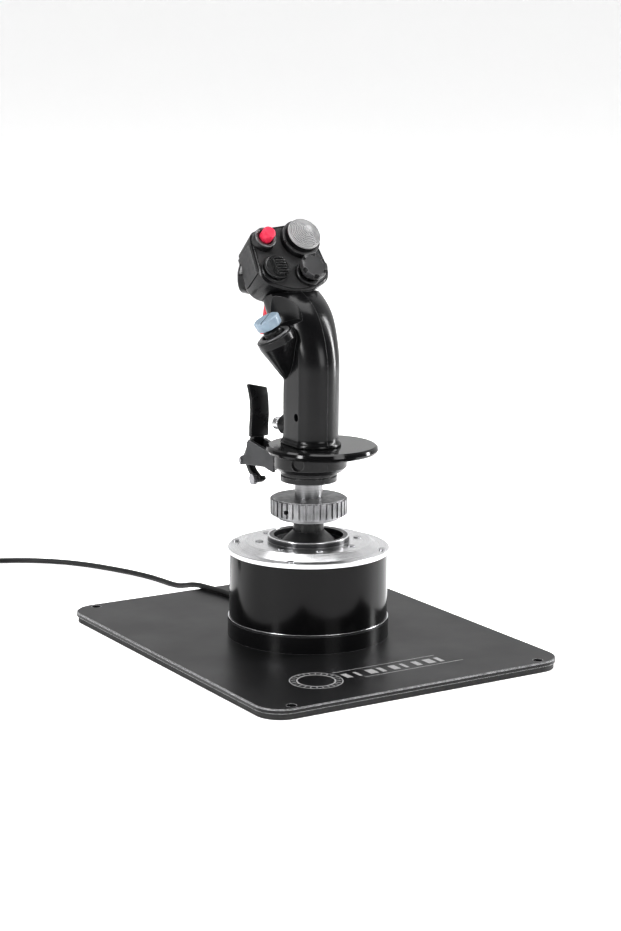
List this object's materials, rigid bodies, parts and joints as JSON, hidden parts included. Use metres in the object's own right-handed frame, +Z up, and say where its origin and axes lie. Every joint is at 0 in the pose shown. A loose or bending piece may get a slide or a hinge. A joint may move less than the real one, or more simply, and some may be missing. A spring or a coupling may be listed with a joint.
{
  "type": "flight joystick",
  "caption": "Desk flight joystick: a sprung grip with hats, buttons, trigger and paddle on a ring nut, over a round gimbal base fixed to a flat plate, with a lead.",
  "frame": {"origin": "centre of the plate's outline, on the surface that the mat rests on", "axes": "+X to the pilot's right, +Y forward and away from the pilot, +Z up along the stick"},
  "size_m": [0.2906, 0.4659, 0.2844],
  "materials": {
    "plate_steel": "satin black painted steel",
    "mat_rubber": "matte",
    "housing_gloss": "gloss black",
    "flange_gloss": "gloss black with a bare rim",
    "cover_silver": "brushed",
    "neck_grey": "satin",
    "machined_steel": "machined",
    "nut_grey": "bead blasted",
    "shaft_grey": "turned",
    "grip_metal": "semi-gloss black",
    "adapter_dark": "satin",
    "rest_gloss": "gloss black",
    "bracket_grey": "satin",
    "paddle_black": "semi-gloss black",
    "hat_grey": "moulded",
    "hat_black": "moulded",
    "hat_blue": "moulded",
    "bezel_metal": "satin",
    "button_red": "gloss",
    "trigger_red": "gloss",
    "button_silver": "polished",
    "cord_black": "matte jacket",
    "plug_black": "moulded",
    "board_green": "solder mask",
    "spring_steel": "drawn wire",
    "moulded_black": "moulded"
  },
  "bodies": {
    "base": {"base_plate": "plate_steel", "base_mat": "mat_rubber", "plate_screws": "machined_steel", "base_flange": "flange_gloss", "base_housing": "housing_gloss", "top_cover": "cover_silver", "cover_screws": "machined_steel", "neck_ring": "neck_grey", "gimbal_pillars": "machined_steel", "centering_plate": "machined_steel", "centering_springs": "spring_steel", "sensor_board": "board_green", "cable_gland": "moulded_black", "cord_run": "cord_black", "cord_coil": "cord_black", "cord_tail": "cord_black", "cord_tie": "moulded_black", "usb_plug": "plug_black"},
    "gimbal": {"gimbal_ring": "machined_steel", "pitch_pins": "machined_steel"},
    "stick": {"stick_shaft": "shaft_grey", "roll_pins": "machined_steel", "gimbal_bell": "moulded_black", "sensor_magnet": "machined_steel", "shaft_collar": "adapter_dark", "grip_ring": "adapter_dark", "grip_adapter": "adapter_dark", "hand_rest": "rest_gloss", "paddle_bracket": "bracket_grey", "paddle_pin": "machined_steel", "grip_left": "grip_metal", "grip_right": "grip_metal", "grip_screws": "machined_steel", "face_plate": "grip_metal", "trim_housing": "bezel_metal", "castle_housing": "hat_black", "ribbed_housing": "hat_black", "thumb_housing": "bezel_metal", "release_bezel": "bezel_metal", "master_bezel": "hat_black", "front_collar": "hat_black", "trigger_pin": "machined_steel", "grip_board": "board_green"},
    "nut": {"ring_nut": "nut_grey"},
    "trigger": {"trigger": "trigger_red"},
    "release": {"release_button": "button_red"},
    "trim_gimbal": {"trim_cross": "machined_steel"},
    "trim": {"trim_hat": "hat_grey"},
    "castle_gimbal": {"castle_cross": "machined_steel"},
    "castle": {"castle_hat": "hat_black"},
    "ribbed_gimbal": {"ribbed_cross": "machined_steel"},
    "ribbed": {"ribbed_hat": "hat_black"},
    "thumb_gimbal": {"thumb_cross": "machined_steel"},
    "thumb_stem": {"thumb_stem": "hat_black"},
    "thumb": {"thumb_hat": "hat_blue"},
    "master": {"master_button": "hat_grey"},
    "front": {"front_button": "button_silver"},
    "paddle": {"paddle_lever": "paddle_black", "paddle_screw": "machined_steel"}
  },
  "joints": [
    {"name": "stick_pitch", "type": "hinge", "parent": "base", "child": "gimbal", "pos_m": [0, 0, 0.05], "axis": [1, 0, 0], "range_deg": [-15, 15], "stiffness_Nm_per_rad": 6},
    {"name": "stick_roll", "type": "hinge", "parent": "gimbal", "child": "stick", "pos_m": [0, 0, 0.05], "axis": [0, 1, 0], "range_deg": [-15, 15], "stiffness_Nm_per_rad": 6},
    {"name": "nut_turn", "type": "hinge", "parent": "stick", "child": "nut", "pos_m": [0, 0, 0.094], "axis": [0, 0, 1], "continuous": true},
    {"name": "trigger_pull", "type": "hinge", "parent": "stick", "child": "trigger", "pos_m": [0, 0.0425, 0.2345], "axis": [-1, 0, 0], "range_deg": [0, 10], "stiffness_Nm_per_rad": 1.2, "springref_deg": -8.59},
    {"name": "release_push", "type": "slide", "parent": "stick", "child": "release", "axis": [0, 0.788, -0.6157], "range_m": [0, 0.0015], "stiffness_N_per_m": 900, "springref_m": -0.001},
    {"name": "trim_tilt_v", "type": "hinge", "parent": "stick", "child": "trim_gimbal", "pos_m": [0.0112, 0.03567, 0.26571], "axis": [1, 0, 0], "range_deg": [-8, 8], "stiffness_Nm_per_rad": 0.35},
    {"name": "trim_tilt_u", "type": "hinge", "parent": "trim_gimbal", "child": "trim", "pos_m": [0.0112, 0.03567, 0.26571], "axis": [0, 0.6157, 0.788], "range_deg": [-8, 8], "stiffness_Nm_per_rad": 0.35},
    {"name": "castle_tilt_v", "type": "hinge", "parent": "stick", "child": "castle_gimbal", "pos_m": [0.0082, 0.01954, 0.24506], "axis": [1, 0, 0], "range_deg": [-7, 7], "stiffness_Nm_per_rad": 0.35},
    {"name": "castle_tilt_u", "type": "hinge", "parent": "castle_gimbal", "child": "castle", "pos_m": [0.0082, 0.01954, 0.24506], "axis": [0, 0.6157, 0.788], "range_deg": [-7, 7], "stiffness_Nm_per_rad": 0.35},
    {"name": "ribbed_tilt_v", "type": "hinge", "parent": "stick", "child": "ribbed_gimbal", "pos_m": [-0.0152, 0.02274, 0.24916], "axis": [1, 0, 0], "range_deg": [-7, 7], "stiffness_Nm_per_rad": 0.35},
    {"name": "ribbed_tilt_u", "type": "hinge", "parent": "ribbed_gimbal", "child": "ribbed", "pos_m": [-0.0152, 0.02274, 0.24916], "axis": [0, 0.6157, 0.788], "range_deg": [-7, 7], "stiffness_Nm_per_rad": 0.35},
    {"name": "thumb_tilt_v", "type": "hinge", "parent": "stick", "child": "thumb_gimbal", "pos_m": [-0.02507, -0.00224, 0.20575], "axis": [0.891, 0, 0.454], "range_deg": [-6, 6], "stiffness_Nm_per_rad": 0.35},
    {"name": "thumb_tilt_u", "type": "hinge", "parent": "thumb_gimbal", "child": "thumb_stem", "pos_m": [-0.02507, -0.00224, 0.20575], "axis": [0.0514, 0.9936, -0.1009], "range_deg": [-6, 6], "stiffness_Nm_per_rad": 0.35},
    {"name": "thumb_push", "type": "slide", "parent": "thumb_stem", "child": "thumb", "axis": [0.4511, -0.1132, -0.8853], "range_m": [0, 0.001], "stiffness_N_per_m": 700, "springref_m": -0.001},
    {"name": "master_push", "type": "slide", "parent": "stick", "child": "master", "axis": [0.6123, -0.7837, -0.1045], "range_m": [0, 0.0012], "stiffness_N_per_m": 900, "springref_m": -0.001},
    {"name": "front_push", "type": "slide", "parent": "stick", "child": "front", "axis": [0.342, -0.9397, 0], "range_m": [0, 0.0012], "stiffness_N_per_m": 900, "springref_m": -0.001},
    {"name": "paddle_squeeze", "type": "hinge", "parent": "stick", "child": "paddle", "pos_m": [-0.012, 0.058, 0.1174], "axis": [1, 0, 0], "range_deg": [0, 8], "stiffness_Nm_per_rad": 2, "springref_deg": -8.59}
  ]
}
